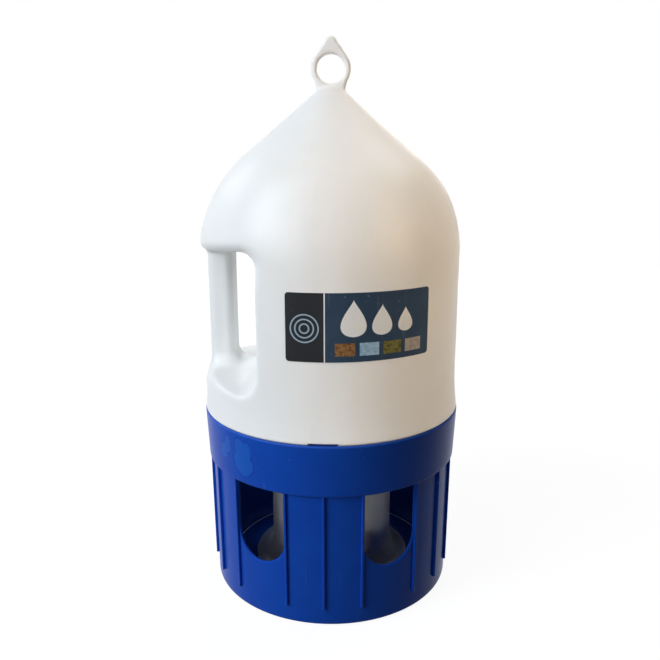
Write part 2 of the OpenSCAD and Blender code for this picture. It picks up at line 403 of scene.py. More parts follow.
def eye_outline():
    """Outline of the pointed ring, without its hole."""
    tilt = math.degrees(math.asin((EYE_R - EYE_POINT_R) / (EYE_POINT_Z - EYE_Z)))
    right = [(EYE_NECK_HALF_W + EYE_NECK_SPREAD, EYE_NECK_Z - EYE_NECK_RUN), (EYE_NECK_HALF_W, EYE_NECK_Z)]
    right += arc(0, EYE_Z, EYE_R, -35, tilt, 20)
    right += arc(0, EYE_POINT_Z, EYE_POINT_R, tilt, 90, 8)
    left = [(-x, z) for x, z in reversed(right[:-1])]
    return right + left


def pocket_field(x, y, z):
    """The pocket behind the grip, open to the left, widening with its draft."""
    reach = np.sqrt(y * y + POCKET_SOFT ** 2)
    spread = reach * math.tan(POCKET_DRAFT)
    wall = x - POCKET_X - reach * POCKET_WIDEN
    top = (z - POCKET_TOP - spread) * math.cos(POCKET_DRAFT)
    low = (POCKET_LOW - spread - z) * math.cos(POCKET_DRAFT)
    round_low = POCKET_ROUND_LOW + POCKET_ROUND_GAIN * reach
    return np.maximum(rounded_both(wall, top, POCKET_ROUND_TOP), rounded_both(wall, low, round_low))


def grip_field(x, y, z):
    """The grip, a bar with rounded corners that runs on into the body."""
    a = np.abs(x - GRIP_X) - GRIP_HALF_W + GRIP_CORNER
    b = np.abs(y) - GRIP_HALF_T + GRIP_CORNER
    bar = np.hypot(np.maximum(a, 0), np.maximum(b, 0)) + np.minimum(np.maximum(a, b), 0) - GRIP_CORNER
    ends = np.maximum(z - POCKET_TOP - GRIP_RUN, POCKET_LOW - GRIP_RUN - z)
    return np.maximum(bar, ends)


def eye_field(x, y, z):
    """The flat ring with its point, with rounded edges."""
    flat = outline_distance(eye_outline(), x, z)
    hole = EYE_HOLE_R - np.hypot(x, z - EYE_Z)
    flat = np.maximum(flat, hole)
    return rounded_both(flat, np.abs(y) - EYE_HALF_T, EYE_EDGE_R)


def bulge_depth(x, y, z):
    """How far the body stands proud above and below the grip."""
    beside = np.exp(-(y / BULGE_WIDTH) ** 2) * (x < 0)
    return sum(depth * np.exp(-((z - middle) / height) ** 2) for middle, height, depth in BULGES) * beside


def handled_body(x, y, z, body):
    """The turned body with its pocket and grip."""
    near_top = np.clip((z - LIP_TOP_Z) / LIP_RISE, 0, 1)
    near_low = np.clip((LIP_LOW_Z - z) / LIP_RISE, 0, 1) * np.exp(-(y / LIP_REACH) ** 2)
    lip = LIP_R + (LIP_R_TOP - LIP_R) * near_top + (LIP_R_LOW - LIP_R) * near_low
    skin = body(np.hypot(x, y), z) - bulge_depth(x, y, z)
    skin = rounded_cut(skin, pocket_field(x, y, z), lip)
    rise = np.clip((z - POCKET_LOW) / (POCKET_TOP - POCKET_LOW), 0, 1)
    blend = GRIP_BLEND_LOW + (GRIP_BLEND_TOP - GRIP_BLEND_LOW) * rise
    return rounded_join(skin, grip_field(x, y, z), blend)


def outside_field(x, y, z, body):
    """The outside of the whole reservoir."""
    skin = handled_body(x, y, z, body)
    skin = rounded_join(skin, eye_field(x, y, z), EYE_BLEND)
    ends = np.maximum(NECK_LOW_Z - NECK_SPARE - z, z - PLUG_Z - NECK_RUN)
    neck = np.maximum(np.hypot(x, y) - NECK_R, ends)
    return rounded_join(skin, neck, NECK_BLEND)


def inside_field(x, y, z, body):
    """The hollow of the reservoir, with the bore of its neck."""
    r = np.hypot(x, y)
    hollow = handled_body(x, y, z, body) + RESERVOIR_WALL
    plug_wall = np.maximum(HOLLOW_PLUG_R - r, z - HOLLOW_PLUG_Z)
    hollow = np.maximum(hollow, -plug_wall)
    bore = np.maximum(r - NECK_IN_R, np.maximum(BORE_LOW_Z - z, z - PLUG_Z - BORE_RUN))
    return np.minimum(hollow, bore)


def body_table():
    """The turned body's distance as a quick table, for the coarse grid."""
    across = np.arange(0, TABLE_R, TABLE_STEP)
    up = np.arange(TABLE_LOW_Z, TABLE_TOP_Z, TABLE_STEP)
    table = outline_distance(reservoir_outline(), across[:, None], up[None, :])

    def look_up(r, z):
        """Reads the table between its four nearest entries."""
        r, z = np.broadcast_arrays(r / TABLE_STEP, (z - TABLE_LOW_Z) / TABLE_STEP)
        i = np.clip(r.astype(int), 0, len(across) - 2)
        j = np.clip(z.astype(int), 0, len(up) - 2)
        u = r - i
        v = z - j
        near = table[i, j] * (1 - u) + table[i + 1, j] * u
        far = table[i, j + 1] * (1 - u) + table[i + 1, j + 1] * u
        return near * (1 - v) + far * v

    return look_up


def body_exact(r, z):
    """The turned body's distance, exactly."""
    return outline_distance(reservoir_outline(), r, z)


def grid_lines(spans):
    """Grid lines over spans of (start, end, step)."""
    lines = [np.arange(start, end, step) for start, end, step in spans]
    return np.concatenate(lines)


def both_sides(lines):
    """Grid lines mirrored about zero."""
    return np.concatenate([-lines[:0:-1], lines])


def net_edges(field, axis):
    """Grid edges along an axis that cross the skin: their start, share and direction."""
    low = [slice(None)] * 3
    high = [slice(None)] * 3
    low[axis] = slice(None, -1)
    high[axis] = slice(1, None)
    first = field[tuple(low)]
    second = field[tuple(high)]
    start = np.argwhere((first < 0) != (second < 0))
    at = tuple(start.T)
    share = first[at] / (first[at] - second[at])
    return start, share, first[at] < 0


def skin_net(field, lines):
    """Points and four-sided faces of a field's zero skin, one point in each cell of the grid it crosses."""
    cells = tuple(n - 1 for n in field.shape)
    total = np.zeros((math.prod(cells), 3))
    count = np.zeros(math.prod(cells))
    rings = []
    for axis in range(3):
        start, share, outward = net_edges(field, axis)
        places = np.stack([lines[k][start[:, k]] for k in range(3)], 1)
        along = lines[axis]
        places[:, axis] += share * (along[start[:, axis] + 1] - along[start[:, axis]])
        ring = []
        for side_a, side_b in ((-1, -1), (0, -1), (0, 0), (-1, 0)):
            cell = start.copy()
            cell[:, (axis + 1) % 3] += side_a
            cell[:, (axis + 2) % 3] += side_b
            flat = np.ravel_multi_index(tuple(cell.T), cells)
            np.add.at(total, flat, places)
            np.add.at(count, flat, 1)
            ring.append(flat)
        ring = np.stack(ring, 1)
        ring[~outward] = ring[~outward][:, ::-1]
        rings.append(ring)
    used = np.flatnonzero(count)
    number = np.full(count.size, -1)
    number[used] = np.arange(used.size)
    return total[used] / count[used, None], number[np.concatenate(rings)]


def evened(points, faces):
    """Points of a net, moved half way to the middle of their neighbours."""
    total = np.zeros_like(points)
    count = np.zeros(len(points))
    for k in range(4):
        for other in (1, 3):
            np.add.at(total, faces[:, k], points[faces[:, (k + other) % 4]])
            np.add.at(count, faces[:, k], 1)
    return points * 0.5 + total / count[:, None] * 0.5


def pulled(points, field):
    """Points moved down the slope of a field, onto its skin."""
    value = field(*points.T)
    shifts = np.eye(3) * SLOPE_STEP
    slope = np.stack([field(*(points + shift).T) - value for shift in shifts], 1) / SLOPE_STEP
    length = np.maximum((slope * slope).sum(1), LEAST_SLOPE)
    move = -slope * (value / length)[:, None]
    size = np.linalg.norm(move, axis=1)
    return points + move * np.minimum(1, MOST_PULL / np.maximum(size, TINY))[:, None]


def settle(points, faces, field, rounds):
    """Moves the points of a net onto the skin, and evens them out before each round but the last."""
    for turn in range(rounds):
        if turn < rounds - 1:
            points = evened(points, faces)
        for _ in range(PULLS):
            points = pulled(points, field)
    return points


def reservoir_outside(material):
    """The outside of the reservoir as one closed skin."""
    x = grid_lines(OUTSIDE_X)
    y = both_sides(grid_lines(OUTSIDE_Y))
    z = grid_lines(OUTSIDE_Z)
    table = body_table()
    field = outside_field(x[:, None, None], y[None, :, None], z[None, None, :], table)
    points, faces = skin_net(field, (x, y, z))
    points = settle(points, faces, lambda *at: outside_field(*at, table), rounds=2)
    points = settle(points, faces, lambda *at: outside_field(*at, body_exact), rounds=1)
    return piece_from("reservoir_outside", points, faces, material)


def reservoir_hollow(material):
    """The hollow of the reservoir as a closed skin, to be cut out."""
    x = both_sides(grid_lines(HOLLOW_ACROSS))
    z = grid_lines(HOLLOW_Z)
    table = body_table()
    field = inside_field(x[:, None, None], x[None, :, None], z[None, None, :], table)
    points, faces = skin_net(field, (x, x, z))
    points = settle(points, faces, lambda *at: inside_field(*at, table), rounds=2)
    return piece_from("reservoir_hollow", points, faces, material)


def bayonet_cutters(material):
    """An entry and a run for each lug, cut into the plug of the reservoir."""
    cutters = []
    for k in range(LUG_COUNT):
        mid = math.tau * k / LUG_COUNT
        entry = ring_sector(mid - ENTRY_HALF, mid + ENTRY_HALF, GROOVE_R, ENTRY_OUT_R,
                            PLUG_Z - ENTRY_RUN, NOTCH_TOP_Z)
        run = ring_sector(mid - LOCK_TURN - ENTRY_HALF, mid, RUN_R, PLUG_R + RUN_PLAY,
                          LUG_LOW_Z - RUN_PLAY, LUG_TOP_Z + RUN_PLAY)
        cutters.append(piece_from("entry_cut", *entry, material))
        cutters.append(piece_from("run_cut", *run, material))
    return cutters


def make_reservoir(material):
    """The outside skin with the hollow, the bayonet runs and the spare end of the neck cut away."""
    outside = reservoir_outside(material)
    cut_low = NECK_LOW_Z - NECK_SPARE - NECK_CUT_RUN
    stand = Matrix.Translation((0, 0, (cut_low + NECK_LOW_Z) / 2 * MM))
    neck_end = round_bar("neck_end", NECK_R + NECK_CUT_OUT, NECK_LOW_Z - cut_low, NECK_CUT_SIDES, stand,
                         material)
    cutters = [reservoir_hollow(material), neck_end] + bayonet_cutters(material)
    return piece_of("reservoir", cut_away(outside, cutters), material, sharp=70.0)


# Drinking base


def wall_r(z):
    """Outer radius of the cage wall at a height."""
    return BASE_R + z * BASE_DRAFT


def window_point(mid, across, z, depth):
    """A point of the cage wall, by its distance across from the middle of a window."""
    radius = wall_r(z) - depth
    return around(radius, mid + math.asin(across / radius), z)


def pier_point(mid, share, half, z, depth):
    """A point of the wall between two windows, share 0 at one jamb and 1 at the next."""
    radius = wall_r(z) - depth
    jamb = math.asin(half / radius)
    return around(radius, mid + jamb + (WINDOW_STEP - 2 * jamb) * share, z)


class Weaver:
    """Collects points and faces of one mesh."""

    def __init__(self):
        self.points = []
        self.faces = []

    def row(self, places):
        """Adds a row of points and gives their numbers."""
        first = len(self.points)
        self.points.extend(places)
        return list(range(first, len(self.points)))

    def strip(self, low, high, closed=False):
        """Faces between two rows of equal length."""
        count = len(low)
        for i in range(count if closed else count - 1):
            j = (i + 1) % count
            self.faces.append((low[i], low[j], high[j], high[i]))

    def fan(self, row, centre):
        """Closes a ring with a fan around a point on the axis."""
        tip = self.row([centre])[0]
        for i, here in enumerate(row):
            self.faces.append((here, row[(i + 1) % len(row)], tip))


ARCH_STEPS = 28
PIER_STEPS = 18
SILL_ROWS = 14
JAMB_ROWS = 10
COLLAR_SEGMENTS = 240
LUG_STEPS = 16
LUG_EDGE_STEPS = 3


def wall_rows(weaver, depth, low_z):
    """The rows of the wall's outside or inside up to the sills and the spring of the arches."""
    half = WINDOW_R + WINDOW_EDGE_R
    swing = np.linspace(-math.pi / 2, math.pi / 2, ARCH_STEPS + 1)
    rows = []
    for t in np.linspace(0, 1, SILL_ROWS + 1):
        places = []
        for k in range(WINDOW_COUNT):
            mid = (k + 0.5) * WINDOW_STEP
            for a in swing:
                sill = ARCH_Z - half * math.cos(a)
                places.append(window_point(mid, half * math.sin(a), low_z + (sill - low_z) * t, depth))
            level = low_z + (ARCH_Z - low_z) * t
            for s in range(1, PIER_STEPS):
                places.append(pier_point(mid, s / PIER_STEPS, half, level, depth))
        rows.append(weaver.row(places))
    for low, high in zip(rows, rows[1:]):
        weaver.strip(low, high, closed=True)
    return rows


def pier_rows(weaver, depth, spring, k):
    """The rows of one pier above the spring of the arches; spring is the row below them."""
    per_window = ARCH_STEPS + PIER_STEPS
    count = per_window * WINDOW_COUNT
    first = k * per_window + ARCH_STEPS
    rows = [[spring[(first + i) % count] for i in range(PIER_STEPS + 1)]]
    mid = (k + 0.5) * WINDOW_STEP
    half = WINDOW_R + WINDOW_EDGE_R
    for z in np.linspace(ARCH_Z, PIER_TOP_Z, JAMB_ROWS + 1)[1:]:
        shares = [i / PIER_STEPS for i in range(PIER_STEPS + 1)]
        rows.append(weaver.row([pier_point(mid, s, half, z, depth) for s in shares]))
    for low, high in zip(rows, rows[1:]):
        weaver.strip(low, high)
    return rows


def edge_steps():
    """Rounded section of a window's edge: how far it stands back, and its depth in the wall."""
    steps = []
    for a in (0.5, 1.0):
        turn = a * math.pi / 2
        steps.append((WINDOW_EDGE_R * (1 - math.sin(turn)), WINDOW_EDGE_R * (1 - math.cos(turn))))
    back = [(stand, BASE_WALL - depth) for stand, depth in reversed(steps)]
    return steps + back


def window_path(stand, depth, mid):
    """The U of a window's edge from the top of one jamb to the top of the other."""
    half = WINDOW_R + stand
    levels = np.linspace(ARCH_Z, PIER_TOP_Z, JAMB_ROWS + 1)[1:]
    path = [window_point(mid, -half, z, depth) for z in levels[::-1]]
    for a in np.linspace(-math.pi / 2, math.pi / 2, ARCH_STEPS + 1):
        path.append(window_point(mid, half * math.sin(a), ARCH_Z - half * math.cos(a), depth))
    return path + [window_point(mid, half, z, depth) for z in levels]


def trough_rings(weaver, row, outline):
    """Rings of the trough below a row of the wall, down an outline to the axis."""
    angles = [math.atan2(weaver.points[i][0], -weaver.points[i][1]) for i in row]
    low = row
    for r, z in outline[:-1]:
        ring = weaver.row([around(r, a, z) for a in angles])
        weaver.strip(low, ring, closed=True)
        low = ring
    weaver.fan(low, (0, 0, outline[-1][1]))


def window_section(weaver, k, walls):
    """Faces around the edge of one window; gives its rows from the outside of the wall to the inside."""
    mid = (k + 0.5) * WINDOW_STEP
    rows = [weaver.row(window_path(stand, depth, mid)) for stand, depth in edge_steps()]
    first = k * (ARCH_STEPS + PIER_STEPS)
    ends = []
    for wall, piers in walls:
        left = [row[-1] for row in piers[k - 1][:0:-1]]
        right = [row[0] for row in piers[k][1:]]
        ends.append(left + wall[-1][first:first + ARCH_STEPS + 1] + right)
    section = [ends[0]] + rows + [ends[1]]
    for low, high in zip(section, section[1:]):
        weaver.strip(low, high)
    return section


def pier_top(weaver, k, outer_piers, inner_piers, sections):
    """Closes the top of one pier."""
    right_jamb = [row[-1] for row in sections[k][1:-1]]
    left_jamb = [row[0] for row in sections[(k + 1) % WINDOW_COUNT][1:-1]]
    top = outer_piers[k][-1] + left_jamb + inner_piers[k][-1][::-1] + right_jamb[::-1]
    weaver.faces.append(tuple(top))


def make_cage(material):
    """The trough and the wall of the cage, with its six windows and their rounded edges."""
    weaver = Weaver()
    windows = range(WINDOW_COUNT)
    outer = wall_rows(weaver, 0.0, FOOT_EDGE_R)
    inner = wall_rows(weaver, BASE_WALL, FLOOR_Z + TROUGH_FILLET)
    outer_piers = [pier_rows(weaver, 0.0, outer[-1], k) for k in windows]
    inner_piers = [pier_rows(weaver, BASE_WALL, inner[-1], k) for k in windows]
    walls = ((outer, outer_piers), (inner, inner_piers))
    sections = [window_section(weaver, k, walls) for k in windows]
    for k in windows:
        pier_top(weaver, k, outer_piers, inner_piers, sections)
    ring_in = BASE_R - FOOT_RING_W
    foot = arc(BASE_R - FOOT_EDGE_R, FOOT_EDGE_R, FOOT_EDGE_R, -12, -90, 5)
    foot += [(ring_in + FOOT_RING_EDGE, 0.0), (ring_in, FOOT_RING_EDGE), (ring_in, UNDERSIDE_Z)]
    trough_rings(weaver, outer[0], foot + [(r, UNDERSIDE_Z) for r in FLOOR_RINGS])
    inside = wall_r(FLOOR_Z + TROUGH_FILLET) - BASE_WALL - TROUGH_FILLET
    floor = arc(inside, FLOOR_Z + TROUGH_FILLET, TROUGH_FILLET, -9, -90, 9)
    trough_rings(weaver, inner[0], floor + [(r, FLOOR_Z) for r in FLOOR_RINGS])
    return piece_from("cage_wall", weaver.points, weaver.faces, material, sharp=50.0)


def collar_r(z):
    """Outer radius of the collar at a height."""
    return COLLAR_LOW_R + (z - CAGE_H) * COLLAR_SLOPE


def make_collar(material):
    """The drafted collar with its rounded rim and the ledge inside."""
    low = arc(COLLAR_LOW_R - COLLAR_EDGE_R, CAGE_H + COLLAR_EDGE_R, COLLAR_EDGE_R, -90, 0, 4)
    side = [(collar_r(z), z) for z in np.linspace(CAGE_H + COLLAR_RUN, RIM_Z - RIM_RUN, 12)]
    rim_mid = collar_r(RIM_Z - COLLAR_RUN) - RIM_ROUND
    rim = arc(rim_mid, RIM_Z - RIM_ROUND, RIM_ROUND, 0, 165, 10)
    heights = np.linspace(RIM_Z - COLLAR_RUN, LEDGE_Z + COLLAR_RUN, 10)
    inside = [(collar_r(z) - COLLAR_WALL, z) for z in heights]
    step_r = collar_r(LEDGE_Z) - COLLAR_WALL
    step = [(step_r, LEDGE_Z + LEDGE_CHAMFER), (step_r - LEDGE_CHAMFER, LEDGE_Z)]
    ledge = arc(LEDGE_R + LEDGE_ROUND, LEDGE_Z - LEDGE_ROUND, LEDGE_ROUND, 90, 180, 3)
    outline = [(LEDGE_R, CAGE_H)] + low + side + rim + inside + step + ledge
    return piece_from("collar", *lathe(outline, COLLAR_SEGMENTS), material, sharp=60.0)


def make_lugs(material):
    """The bayonet lugs inside the collar, with rounded edges."""
    points = []
    faces = []
    half = LUG_W / 2 / PLUG_R
    outer = collar_r(LUG_LOW_Z) - COLLAR_WALL + LUG_BURY
    for k in range(LUG_COUNT):
        mid = math.tau * k / LUG_COUNT
        lug_points, lug_faces = ring_sector(mid - half, mid + half, LUG_R, outer, LUG_LOW_Z, LUG_TOP_Z,
                                            LUG_STEPS)
        first = len(points)
        points += lug_points
        faces += [tuple(first + i for i in face) for face in lug_faces]
    lugs = piece_from("lugs", points, faces, material)
    bevel = lugs.modifiers.new("rounded", "BEVEL")
    bevel.width = LUG_EDGE_R * MM
    bevel.segments = LUG_EDGE_STEPS
    bevel.limit_method = "ANGLE"
    bevel.angle_limit = math.radians(40)
    return piece_of("bayonet_lugs_round", finished_mesh(lugs), material, sharp=50.0)


# Node trees: numbers that sums can be written with


class Sum:
    """A number in a node tree; a sum with it adds a Math node."""

    def __init__(self, tree, socket):
        self.tree = tree
        self.socket = socket

    def apply(self, operation, *others):
        """A Math node on this number and others."""
        return math_node(self.tree, operation, self, *others)

    def __add__(self, other):
        return self.apply("ADD", other)

    def __sub__(self, other):
        return self.apply("SUBTRACT", other)

    def __rsub__(self, other):
        return math_node(self.tree, "SUBTRACT", other, self)

    def __mul__(self, other):
        return self.apply("MULTIPLY", other)

    def __truediv__(self, other):
        return self.apply("DIVIDE", other)

    def __rtruediv__(self, other):
        return math_node(self.tree, "DIVIDE", other, self)

    def __abs__(self):
        return self.apply("ABSOLUTE")

    def clamped(self):
        """Keeps the last sum between 0 and 1."""
        self.socket.node.use_clamp = True
        return self


def feed(tree, socket, value):
    """Links a socket to another, or to a node's first output, or sets its plain value."""
    if isinstance(value, Sum):
        value = value.socket
    if isinstance(value, bpy.types.Node):
        value = value.outputs[0]
    if isinstance(value, bpy.types.NodeSocket):
        tree.links.new(value, socket)
    else:
        socket.default_value = value


def math_node(tree, operation, *values):
    """The result of a Math node."""
    made = tree.nodes.new("ShaderNodeMath")
    made.operation = operation
    for socket, value in zip(made.inputs, values):
        feed(tree, socket, value)
    return Sum(tree, made.outputs[0])


def add(tree, kind, inputs=None, **settings):
    """A node with its settings and its inputs, each a value, a socket, a sum or a node."""
    made = tree.nodes.new(kind)
    for key, value in settings.items():
        setattr(made, key, value)
    for key, value in (inputs or {}).items():
        feed(tree, made.inputs[key], value)
    return made


def outputs_of(tree, node):
    """The outputs of a node by name, for sums."""
    return {socket.name: Sum(tree, socket) for socket in node.outputs}


def name_inputs(tree, sizes):
    """Named inputs of a tree: numbers with their values, or a vector where there is no value."""
    for name, value in sizes.items():
        kind = "NodeSocketVector" if value is None else "NodeSocketFloat"
        socket = tree.interface.new_socket(name, in_out="INPUT", socket_type=kind)
        if value is not None:
            socket.default_value = value


# Ribs of the cage, by Geometry Nodes


RIBS_EACH = 3
RIB_STEPS = 14
RIB_EDGE_STEPS = 3
RIB_SIZES = {
    "Windows": WINDOW_COUNT,
    "Rib shift": RIB_SHIFT,
    "Rib width": RIB_W * MM,
    "Rib depth": (RIB_OUT + RIB_BURY) * MM,
    "Rib edge": RIB_EDGE_R * MM,
    "Foot radius": (wall_r(RIB_FOOT_Z) + (RIB_OUT - RIB_BURY) / 2) * MM,
    "Top radius": (wall_r(PIER_TOP_Z) + (RIB_OUT - RIB_BURY) / 2) * MM,
    "Foot height": RIB_FOOT_Z * MM,
    "Top height": PIER_TOP_Z * MM,
}


def rib_tree(material):
    """Three ribs a window: one on each jamb and one in the middle of the pier."""
    tree = bpy.data.node_groups.new("cage_ribs", "GeometryNodeTree")
    tree.interface.new_socket("Geometry", in_out="OUTPUT", socket_type="NodeSocketGeometry")
    name_inputs(tree, RIB_SIZES)
    size = outputs_of(tree, add(tree, "NodeGroupInput"))
    foot = add(tree, "ShaderNodeCombineXYZ", {"Y": size["Foot radius"] * -1.0, "Z": size["Foot height"]})
    top = add(tree, "ShaderNodeCombineXYZ", {"Y": size["Top radius"] * -1.0, "Z": size["Top height"]})
    spine = add(tree, "GeometryNodeCurvePrimitiveLine", {"Start": foot, "End": top})
    fine = add(tree, "GeometryNodeResampleCurve", {"Curve": spine, "Count": RIB_STEPS})
    square = add(tree, "GeometryNodeCurvePrimitiveQuadrilateral",
                 {"Width": size["Rib depth"], "Height": size["Rib width"]})
    soft = add(tree, "GeometryNodeFilletCurve",
               {"Curve": square, "Radius": size["Rib edge"], "Count": RIB_EDGE_STEPS}, mode="POLY")
    rib = add(tree, "GeometryNodeCurveToMesh", {"Curve": fine, "Profile Curve": soft, "Fill Caps": True})
    spots = add(tree, "GeometryNodeMeshLine",
                {"Count": size["Windows"] * float(RIBS_EACH), "Offset": (0, 0, 0)})
    index = Sum(tree, add(tree, "GeometryNodeInputIndex").outputs[0])
    kind = index.apply("MODULO", float(RIBS_EACH))
    window = (index / float(RIBS_EACH)).apply("FLOOR")
    step = math.tau / size["Windows"]
    on_jamb = kind.apply("MINIMUM", 1.0)
    side = kind * 2.0 - 3.0
    shift = side * size["Rib shift"] * on_jamb
    place = window + on_jamb * 0.5
    turn = add(tree, "ShaderNodeCombineXYZ", {"Z": place * step + shift})
    turned = add(tree, "FunctionNodeEulerToRotation", {"Euler": turn})
    spread = add(tree, "GeometryNodeInstanceOnPoints",
                 {"Points": spots, "Instance": rib, "Rotation": turned})
    real = add(tree, "GeometryNodeRealizeInstances", {"Geometry": spread})
    painted = add(tree, "GeometryNodeSetMaterial", {"Geometry": real, "Material": material})
    add(tree, "NodeGroupOutput", {"Geometry": painted})
    return tree


def make_ribs(material):
    """The ribs as one plain mesh, with the edges of their feet rounded."""
    carrier = bpy.data.objects.new("rib_carrier", bpy.data.meshes.new("rib_carrier"))
    bpy.context.scene.collection.objects.link(carrier)
    grower = carrier.modifiers.new("ribs", "NODES")
    tree = rib_tree(material)
    grower.node_group = tree
    for item in tree.interface.items_tree:
        if item.in_out == "INPUT" and item.name in RIB_SIZES:
            grower[item.identifier] = float(RIB_SIZES[item.name])
    mesh = finished_mesh(carrier)
    work = bmesh.new()
    work.from_mesh(mesh)
    bmesh.ops.remove_doubles(work, verts=work.verts, dist=1e-7)
    bmesh.ops.recalc_face_normals(work, faces=work.faces)
    ends = [f for f in work.faces if len(f.verts) > 4]
    feet = [f for f in ends if f.calc_center_median().z < ARCH_Z * MM]
    edges = list({e for f in feet for e in f.edges})
    bmesh.ops.bevel(work, geom=edges, offset=RIB_EDGE_R * MM, segments=RIB_EDGE_STEPS, affect="EDGES",
                    profile=0.5)
    work.to_mesh(mesh)
    work.free()
    return piece_of("ribs", mesh, material, sharp=50.0)


# Outlet foot


FLARE_EDGE_R = 0.6
SPIGOT_EDGE_R = 0.4
FOOT_SEGMENTS = 160
FLARE_POINTS = 25
PORT_SIDES = 48
PORT_MIDDLE_R = 55.0
PORT_REACH = 40.0


def port_cutter(turn, material):
    """A round bar across the wall of the foot, to cut a port with."""
    stand = Matrix.Rotation(turn, 4, "Z")
    stand = stand @ Matrix.Translation((0, -PORT_MIDDLE_R * MM, (PORT_TOP_Z - PORT_R) * MM))
    stand = stand @ Matrix.Rotation(math.pi / 2, 4, "X")
    return round_bar("port", PORT_R, PORT_REACH, PORT_SIDES, stand, material)


def make_foot(material):
    """The flared foot under the neck, with its spigot and two ports."""
    flare_h = JOINT_Z - FOOT_Z - FOOT_LIP
    lip_in = FOOT_R - FOOT_WALL
    bore = SPIGOT_R - FOOT_WALL
    flare = []
    hollow = []
    for a in np.radians(np.linspace(0, 90, FLARE_POINTS)):
        rise = flare_h * (1 - math.cos(a))
        flare.append((FOOT_R - (FOOT_R - NECK_R) * math.sin(a), FOOT_Z + FOOT_LIP + rise))
        hollow.append((lip_in - (lip_in - bore) * math.sin(a), FOOT_Z + rise))
    lip = arc(FOOT_R - FLARE_EDGE_R, FOOT_Z + FLARE_EDGE_R, FLARE_EDGE_R, -90, 0, 4)
    spigot = [
        (SPIGOT_R, JOINT_Z),
        (SPIGOT_R, SPIGOT_TOP_Z - FLARE_EDGE_R),
        (SPIGOT_R - FLARE_EDGE_R, SPIGOT_TOP_Z),
        (bore + SPIGOT_EDGE_R, SPIGOT_TOP_Z),
        (bore, SPIGOT_TOP_Z - SPIGOT_EDGE_R),
    ]
    foot = piece_from("foot", *lathe(lip + flare + spigot + hollow[::-1], FOOT_SEGMENTS), material)
    ports = [port_cutter(turn, material) for turn in (0.0, math.pi)]
    return piece_of("flared_foot", cut_away(foot, ports), material, sharp=40.0)


# Label


LABEL_COLUMNS = 73
LABEL_ROWS = 22
CORNER_ROWS = 7


def label_rows():
    """Heights of the label's rows and half its width there, with rounded corners."""
    corner = [LABEL_CORNER * (1 - math.cos(a)) for a in np.linspace(0, math.pi / 2, CORNER_ROWS)]
    heights = corner + list(np.linspace(LABEL_CORNER, LABEL_H - LABEL_CORNER, LABEL_ROWS)[1:-1])
    heights += [LABEL_H - h for h in reversed(corner)]
    rows = []
    for height in heights:
        edge = max(LABEL_CORNER - min(height, LABEL_H - height), 0)
        back = LABEL_CORNER - math.sqrt(max(LABEL_CORNER ** 2 - edge ** 2, 0))
        rows.append((height, LABEL_W / 2 - back))
    return rows


def make_label(material):
    """The printed film, curved around the wall, with a UV map in shares of its size."""
    weaver = Weaver()
    rims = []
    for radius in (LABEL_R + LABEL_T, LABEL_R):
        sheet = []
        for height, half in label_rows():
            angles = LABEL_MID + np.linspace(-half, half, LABEL_COLUMNS) / BODY_R
            sheet.append(weaver.row([around(radius, a, LABEL_Z + height) for a in angles]))
        for low, high in zip(sheet, sheet[1:]):
            weaver.strip(low, high)
        right = [row[-1] for row in sheet[1:-1]]
        left = [row[0] for row in sheet[-2:0:-1]]
        rims.append(sheet[0] + right + sheet[-1][::-1] + left)
    weaver.strip(rims[0], rims[1], closed=True)
    label = piece_from("label", weaver.points, weaver.faces, material, sharp=50.0)
    layer = label.data.uv_layers.new(name="print")
    for loop in label.data.loops:
        place = label.data.vertices[loop.vertex_index].co / MM
        angle = math.atan2(place.x, -place.y) - LABEL_MID
        layer.data[loop.index].uv = (angle * BODY_R / LABEL_W + 0.5, (place.z - LABEL_Z) / LABEL_H)
    return label


# Finishes: shared effects


def shade_group(name, inputs, outputs):
    """A shader node group with named inputs and outputs."""
    tree = bpy.data.node_groups.new(name, "ShaderNodeTree")
    name_inputs(tree, inputs)
    for label in outputs:
        tree.interface.new_socket(label, in_out="OUTPUT", socket_type="NodeSocketFloat")
    return tree, outputs_of(tree, add(tree, "NodeGroupInput"))


def noise(tree, vector, scale, **more):
    """A noise pattern around 0.5."""
    made = add(tree, "ShaderNodeTexNoise", {"Vector": vector, "Scale": scale, **more})
    return Sum(tree, made.outputs["Fac"])


FINE_SHARE = 0.04
STAIN_STRETCH = (1.0, 1.0, 0.45)
STAIN_SHARP = 5.0
SPECK_SIZE = 700.0
SPECK_LEAST = 0.4
# scratches: how their pattern is turned and stretched
SCRATCHES = (((0.4, 0.7, 0.2), (1, 1, 0.04)), ((1.3, 0.3, 0.9), (1, 0.05, 1)))
SCRATCH_LIMIT = 0.98
SCRATCH_GAIN = 0.4
SCRATCH_SHARP = 9.0


def moulded_grain_group():
    """Fine grain and slow waves of a moulded surface, as a height and a mottle around 0.5."""
    sizes = {"Vector": None, "Grain size": 900.0, "Wave size": 28.0, "Waves": 0.7}
    tree, given = shade_group("moulded_grain", sizes, ("Height", "Mottle"))
    grain = noise(tree, given["Vector"], given["Grain size"], Detail=3.0)
    wave = noise(tree, given["Vector"], given["Wave size"], Detail=2.0)
    height = wave * given["Waves"] + grain * FINE_SHARE
    add(tree, "NodeGroupOutput", {"Height": height, "Mottle": wave})
    return tree


